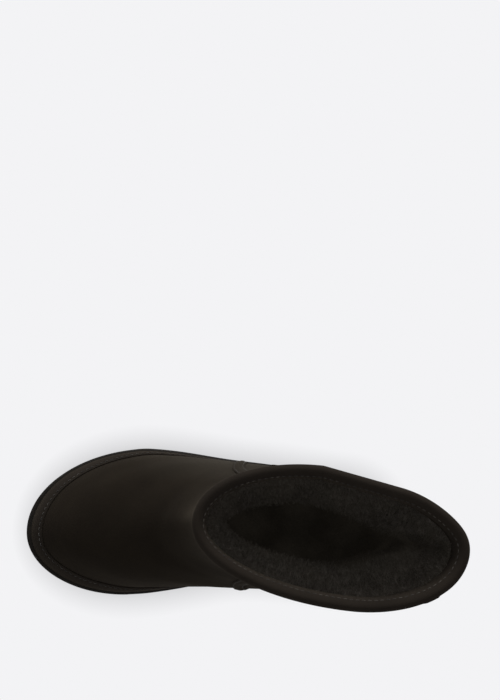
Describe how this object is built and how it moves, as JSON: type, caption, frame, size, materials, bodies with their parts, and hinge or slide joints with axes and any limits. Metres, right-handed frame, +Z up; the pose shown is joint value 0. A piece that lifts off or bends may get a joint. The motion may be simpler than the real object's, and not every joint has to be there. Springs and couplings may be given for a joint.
{
  "type": "sheepskin ankle boot",
  "caption": "Pull-on ankle boot in black suede sheepskin, wool inside, with a bound collar, side seams, a stitched strip round the foot and a one-piece foam sole. Right foot.",
  "frame": {"origin": "on the floor, under the middle of the boot's bounding box", "axes": "+Z up out of the shaft, -X towards the toe, +Y towards the little-toe (outer) side of this right boot"},
  "size_m": [0.2814, 0.1044, 0.2072],
  "materials": {
    "sole_foam": "moulded foam, matt, black",
    "insole_fleece": "short curled wool pile, black",
    "upper_suede": "suede outside with a short nap, uncut wool pile inside, black",
    "counter_suede": "suede with a short nap, black",
    "trim_suede": "suede strip, stitched, black"
  },
  "bodies": {
    "root": {"outsole": "sole_foam", "insole": "insole_fleece", "upper": "upper_suede", "heel_counter": "counter_suede", "rand": "trim_suede", "collar_binding": "trim_suede", "side_seam_lateral": "trim_suede", "side_seam_medial": "trim_suede"}
  },
  "joints": []
}
